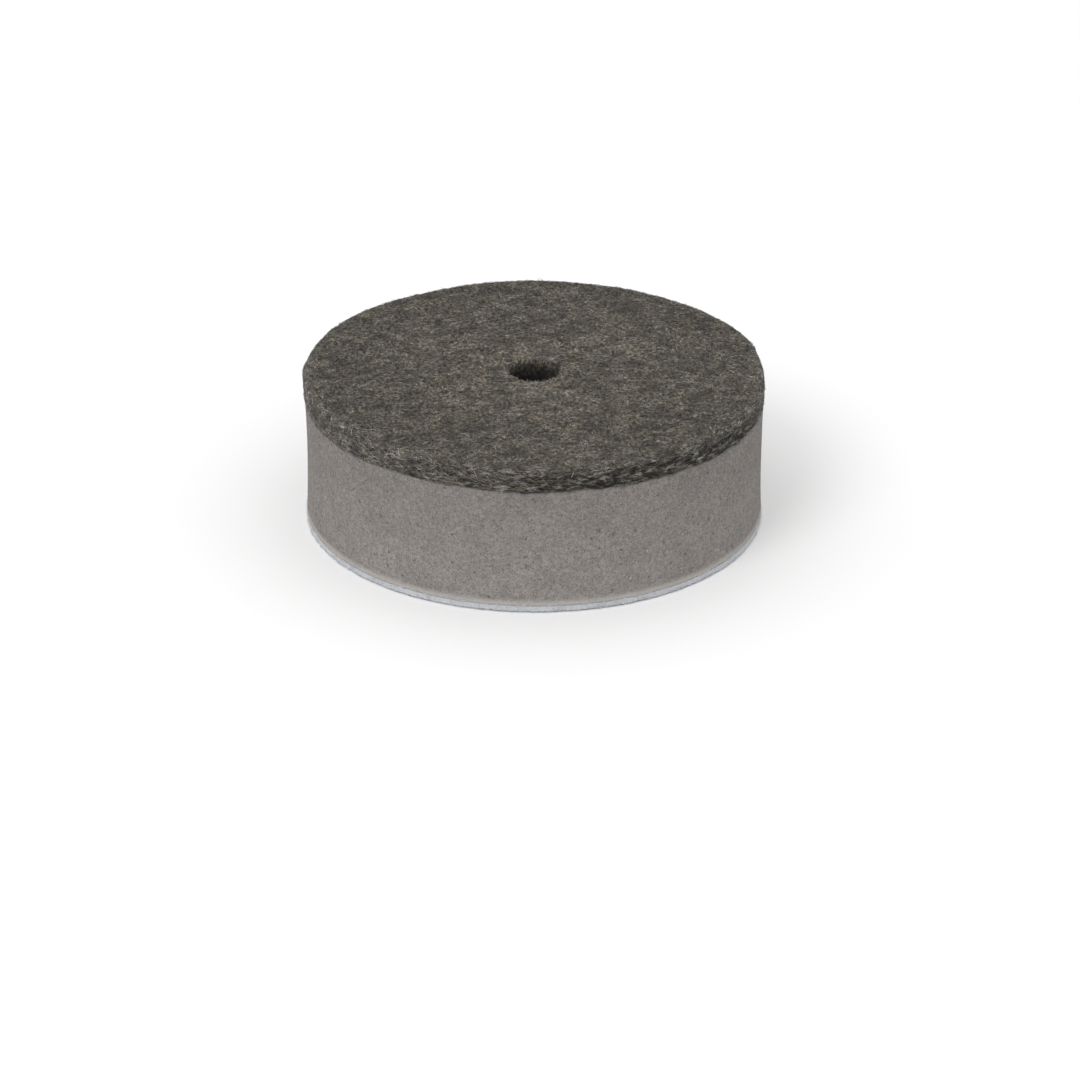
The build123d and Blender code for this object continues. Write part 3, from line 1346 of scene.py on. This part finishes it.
@dataclass
class FoamCore:
    """The open-cell foam disc, whose die-cut side shows its cells and a few larger voids.

    Attributes:
        layer: The CAD layer that it fills.
        waist: How far the side is drawn in at mid height.
        cell: Size of a cell.
        cell_depth: Depth of an ordinary cell that the cut has opened.
        void: Spacing of the cells that hold a void.
        void_depth: Depth of a void.
        drag: How far the die has dragged the side in and out.
        lip: How far the foot of the side is pressed down, over the film and onto the loop fabric.
    """

    layer: Layer = field(default_factory=lambda: Layer.of_node("foam_core"))
    waist: float = 0.2 * MM
    cell: float = 0.46 * MM
    cell_depth: float = 0.07 * MM
    void: float = 2.6 * MM
    void_depth: float = 0.42 * MM
    drag: float = 0.07 * MM
    lip: float = 0.15 * MM

    def build(self) -> list[Piece]:
        """Builds the core.

        Returns:
            The core, as the only piece of the list.
        """
        layer = self.layer
        core = WasherBlank(layer, 1120, 0.21 * MM, 4.0 * MM, 4.0 * MM, 1.0 * MM).cut("foam_body")
        places = vertices_of(core)
        radius = reach_of(places)
        cut = np.abs(places[:, 2] - layer.middle) < layer.height / 2 - 0.02 * MM
        side = np.flatnonzero(cut & (radius > layer.radius / 2))
        wall = np.flatnonzero(cut & (radius < layer.radius / 2))
        for region, way in ((side, 1.0), (wall, -1.0)):
            inward = self._cells(places[region])
            if way > 0:
                share = (places[region, 2] - layer.middle) / (layer.height / 2)
                inward += self.waist * (1 - share**2)
                inward += self.drag * grain(places[region], 9 * MM, 5.5)
            radial = places[region, :2] / radius[region, None]
            places[region, :2] -= way * radial * inward[:, None]
        foot = (radius > layer.radius - 0.05 * MM) & (places[:, 2] < layer.bottom + 0.02 * MM)
        places[foot, 2] -= self.lip
        move_vertices(core, places)
        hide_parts(layer.node)
        return [hand_over(core, FoamFinish(layer).material())]

    def _cells(self, places: Values) -> Values:
        """How far the cut surface is sunk into its cells and voids."""
        _, wall, lot = cells(places, self.cell, 1.7)
        depth = self.cell_depth * ease(0.0, 0.35, wall) * (0.3 + 1.4 * lot)
        centre, _, chance = cells(places, self.void, 6.4)
        size = 0.10 + 0.10 * ((chance * 53) % 1)
        pit = (chance > 0.72) * np.sqrt(np.clip(1 - (centre / size) ** 2, 0, 1))
        return np.maximum(depth, self.void_depth * pit * (0.5 + size / 0.4))


# --- The loop back ---


@dataclass
class LoopBack:
    """The loop fabric: a knitted ground, rows of small loops and the brushed filaments among them.

    Attributes:
        ground_layer: The CAD layer of the knitted ground.
        pile_layer: The CAD layer of the loops.
        draw: Seeded random numbers for the lay of the loops.
        wale: Distance between the rows of loops.
        course: Distance between the loops of a row.
        loop_radius: Radius of a loop.
        yarn: Radius of its filament.
        brushed: Filaments that brushing has pulled out over the loops.
        pulled: The kind of filament that they are.
        rim_ends: Cut ends that show round the rim.
        cut: The kind of filament that they are.
        pinch: How far the die has pressed the ground down into the pile at the rim.
        rib: Height of the ground's ribs, halved.
        fray: How far its cut frays in and out.
    """

    ground_layer: Layer = field(default_factory=lambda: Layer.of_node("loop_ground_cloth"))
    pile_layer: Layer = field(default_factory=lambda: Layer.of_node("loop_pile"))
    draw: np.random.Generator = field(default_factory=lambda: np.random.default_rng(97))
    wale: float = 0.98 * MM
    course: float = 1.12 * MM
    loop_radius: float = 0.31 * MM
    yarn: float = 0.055 * MM
    brushed: int = 2200
    pulled: Filament = Filament(3.2 * MM, 0.028 * MM, 7, 0.30 * MM, 1.1 * MM, 24)
    rim_ends: int = 6500
    cut: Filament = Filament(1.15 * MM, 0.024 * MM, 3, 0.10 * MM, 0.5 * MM, 24)
    pinch: float = 0.45 * MM
    rib: float = 0.05 * MM
    fray: float = 0.10 * MM

    def build(self) -> list[Piece]:
        """Builds every piece of the loop fabric.

        Returns:
            The ground, the loops, the brushed filaments and the cut ends.
        """
        finish = LOOP_FILAMENTS.material()
        ground = self._ground()
        loops = self._loops(finish)
        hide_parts(self.ground_layer.node)
        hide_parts(self.pile_layer.node)
        others = [loops, self._brushed(finish), self._rim_ends(finish)]
        return [ground, *others]

    def _ground(self) -> Piece:
        """Models the knitted ground, with ribs of wales on both faces."""
        layer = self.ground_layer
        blank = WasherBlank(layer, 640, 0.1 * MM, 3.0 * MM, 0.45 * MM, 0.2 * MM)
        ground = blank.cut("loop_knit_ground")
        places = vertices_of(ground)
        ribs = np.cos(FULL_TURN * places[:, 0] / self.wale)
        below = places[:, 2] < layer.middle
        reach = reach_of(places)
        pinched = self.pinch * ease(layer.radius - 1.3 * MM, layer.radius - 0.4 * MM, reach)
        places[:, 2] += np.where(below, self.rib * ribs - pinched, 0)
        frayed = self.fray * (grain(places, 0.8 * MM, 2.3) + grain(places, 3.1 * MM, 4.9))
        at_rim = reach > layer.radius - 0.1 * MM
        places[at_rim, :2] *= 1 + (frayed[at_rim] / layer.radius)[:, None]
        move_vertices(ground, places)
        return hand_over(ground, KnitFinish(layer.radius).material())

    def _loops(self, finish: Material) -> Piece:
        """Copies one loop along the wales, each leaning and squashed in its own way."""
        let_go()
        bpy.ops.mesh.primitive_torus_add(
            major_radius=self.loop_radius,
            minor_radius=self.yarn,
            major_segments=8,
            minor_segments=3,
            rotation=(HALF_TURN / 2, 0, 0),
        )
        model = bpy.context.object
        bpy.ops.object.transform_apply(location=False, rotation=True, scale=False)
        stock = Stock.from_models([model])
        bpy.data.meshes.remove(model.data)
        feet = self._feet()
        count = len(feet)
        copies = np.repeat(stock.places, count, axis=0)
        draw = self.draw
        copies[..., 0] *= draw.uniform(0.75, 1.25, size=(count, 1))
        copies[..., 2] *= draw.uniform(0.8, 1.15, size=(count, 1))
        lean = draw.normal(0.35, 0.3, size=(count, 1))
        copies[..., 1] += lean * (self.loop_radius - copies[..., 2])
        turn = draw.normal(0, 0.5, size=(count, 1)) + HALF_TURN / 4 * draw.choice((-1, 1), (count, 1))
        level = self.pile_layer.top - 0.30 * MM + draw.normal(0, 0.03 * MM, size=(count, 1))
        x, y = turned(copies[..., 0], copies[..., 1], turn)
        z = np.maximum(level + copies[..., 2], 0.0)
        placed = np.stack((feet[:, :1] + x, feet[:, 1:] + y, z), axis=-1)
        loops = stock.join("loop_pile_loops", placed, draw.random(count))
        return hand_over(loops, finish)

    def _feet(self) -> Values:
        """Where the loops stand: along the wales, each a little off its place."""
        layer = self.pile_layer
        steps = math.ceil(layer.radius / self.wale)
        rows = []
        for wale in range(-steps, steps + 1):
            courses = np.arange(-steps, steps + 1) * self.course + (wale % 2) * self.course / 2
            rows.append(np.stack((np.full(len(courses), wale * self.wale), courses), axis=1))
        feet = np.concatenate(rows)
        feet += self.draw.normal(0, 0.10 * MM, size=feet.shape)
        reach = reach_of(feet)
        return feet[(reach < layer.radius - 0.20 * MM) & (reach > layer.hole_radius + 0.35 * MM)]

    def _brushed(self, finish: Material) -> Piece:
        """Lays filaments that brushing has pulled out of the loops."""
        layer = self.pile_layer
        stock = self.pulled.stock()
        draw, count = self.draw, self.brushed
        copies = stock.pick(draw, count)
        turn = all_round(draw, count)
        low, high = layer.hole_radius + 1.2 * MM, layer.radius - 1.2 * MM
        reach = np.sqrt(draw.uniform(low**2, high**2, size=(count, 1)))
        bearing = all_round(draw, count)
        x, y = turned(copies[..., 0], copies[..., 1], turn)
        z = draw.uniform(0.08, 0.45, size=(count, 1)) * MM + 0.5 * copies[..., 2]
        x, y = x + reach * np.cos(bearing), y + reach * np.sin(bearing)
        placed = np.stack((x, y, np.maximum(z, 0.0)), axis=-1)
        brushed = stock.join("loop_pile_brushed", placed, draw.random(count))
        return hand_over(brushed, finish)

    def _rim_ends(self, finish: Material) -> Piece:
        """Leaves a fuzz of short filament ends along the rim, where the die has cut through the pile."""
        layer = self.pile_layer
        stock = self.cut.stock()
        draw, count = self.draw, self.rim_ends
        copies = stock.pick(draw, count)
        bearing = all_round(draw, count)
        yaw = all_round(draw, count, HALF_TURN)
        pitch = draw.normal(0, 0.35, size=(count, 1))
        level_run = copies[..., 0] * np.cos(pitch)
        out = layer.radius + draw.uniform(-0.34, 0.10, size=(count, 1)) * MM
        out = out + 0.45 * level_run * np.cos(yaw) - 0.6 * copies[..., 1] * np.sin(yaw)
        aside = level_run * np.sin(yaw) + copies[..., 1] * np.cos(yaw)
        level = draw.uniform(0.03, 1.3, size=(count, 1)) * MM
        height = np.maximum(level + copies[..., 0] * np.sin(pitch) + copies[..., 2], 0.0)
        placed = np.stack((*turned(out, aside, bearing), height), axis=-1)
        return hand_over(stock.join("loop_rim_ends", placed, draw.random(count)), finish)


# --- The adhesive films ---


@dataclass
class AdhesiveFilms:
    """The two hot-melt films, which keep their CAD shape and get their finish here.

    Attributes:
        finishes: Each film's CAD node and finish. The front film is painted darker, as the shadow under
            the felt's edge.
    """

    finishes: tuple[tuple[str, FilmFinish], ...] = (
        # The front film's darker colours are painted shadow under the felt's edge.
        ("front_adhesive_film", FilmFinish("felt_hot_melt", (0.15, 0.14, 0.12), (0.21, 0.195, 0.17))),
        ("rear_adhesive_film", FilmFinish("cloth_hot_melt")),
    )

    def build(self) -> list[Piece]:
        """Dresses both films.

        Returns:
            The two films.
        """
        films = []
        for node, finish in self.finishes:
            film = frame["nodes"][node]
            film.data.materials.clear()
            film.data.materials.append(finish.material())
            LOG.info("%s: dressed", film.name)
            films.append(film)
        return films


# --- The studio ---


@dataclass
class Studio:
    """A white table in a white room, with one large soft light from the front left.

    Attributes:
        eye: Where the camera stands.
        pitch: How far it looks down.
        roll: How far it is turned about its own line of sight.
        lens: Focal length in millimetres, on a sensor 36 mm wide.
        room: Brightness of the room.
        lamp_power: Power of the large light.
        lamp_size: How wide it is.
        lamp_place: Where it hangs.
        lamp_aim: Where it points.
        table: Half the table's side.
    """

    eye: Axes = (1.0 * MM, -694.4 * MM, 336.7 * MM)
    pitch: float = math.radians(26.24)
    roll: float = math.radians(0.25)
    lens: float = 155.9
    room: float = 1.0
    lamp_power: float = 6.0
    lamp_size: float = 0.7
    lamp_place: Axes = (-0.60, -0.87, 1.0)
    lamp_aim: Axes = (0.0, 0.0, 0.012)
    table: float = 6.0

    def build(self) -> None:
        """Sets up the camera, the table, the room and the light."""
        self._camera()
        self._table()
        self._room()
        self._lamp()
        bpy.context.scene.view_settings.view_transform = "Standard"

    def _camera(self) -> None:
        """Stands the camera where it sees the wheel from above its front edge."""
        data = bpy.data.cameras.new("camera")
        data.sensor_width = 36.0
        data.lens = self.lens
        data.clip_start = 0.01
        data.clip_end = 50.0
        camera = bpy.data.objects.new("camera", data)
        camera.location = self.eye
        tilt = Matrix.Rotation(HALF_TURN / 2 - self.pitch, 3, "X") @ Matrix.Rotation(self.roll, 3, "Z")
        camera.rotation_euler = tilt.to_euler()
        bpy.context.collection.objects.link(camera)
        bpy.context.scene.camera = camera

    def _table(self) -> None:
        """Lays the plain pale table top under the wheel."""
        let_go()
        bpy.ops.mesh.primitive_plane_add(size=2 * self.table, location=(0, 0, 0))
        table = bpy.context.object
        table.name = "table_top"
        board = Board("table_top", 0.9)
        board.shader.inputs["Base Color"].default_value = (0.90, 0.90, 0.90, 1.0)
        table.data.materials.append(board.material)

    def _room(self) -> None:
        """Fills the room with even white light."""
        world = bpy.data.worlds.new("room")
        world.use_nodes = True
        background = world.node_tree.nodes["Background"]
        background.inputs["Color"].default_value = (1.0, 1.0, 1.0, 1.0)
        background.inputs["Strength"].default_value = self.room
        bpy.context.scene.world = world

    def _lamp(self) -> None:
        """Hangs the large soft light at the front left."""
        data = bpy.data.lights.new("soft_lamp", "AREA")
        data.shape = "DISK"
        data.size = self.lamp_size
        data.energy = self.lamp_power
        lamp = bpy.data.objects.new("soft_lamp", data)
        lamp.location = self.lamp_place
        aim = Vector(self.lamp_aim) - Vector(self.lamp_place)
        lamp.rotation_euler = aim.to_track_quat("-Z", "Y").to_euler()
        bpy.context.collection.objects.link(lamp)


def main() -> None:
    """Builds the studio and every layer of the wheel, from the felt down."""
    logging.basicConfig(level=logging.INFO, format="%(name)s: %(message)s")
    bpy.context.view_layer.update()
    Studio().build()
    for part in (FoamCore(), FeltFace(), LoopBack(), AdhesiveFilms()):
        names = [piece.name for piece in part.build()]
        LOG.info("%s: %s", type(part).__name__, ", ".join(names))


if __name__ == "__main__":
    main()
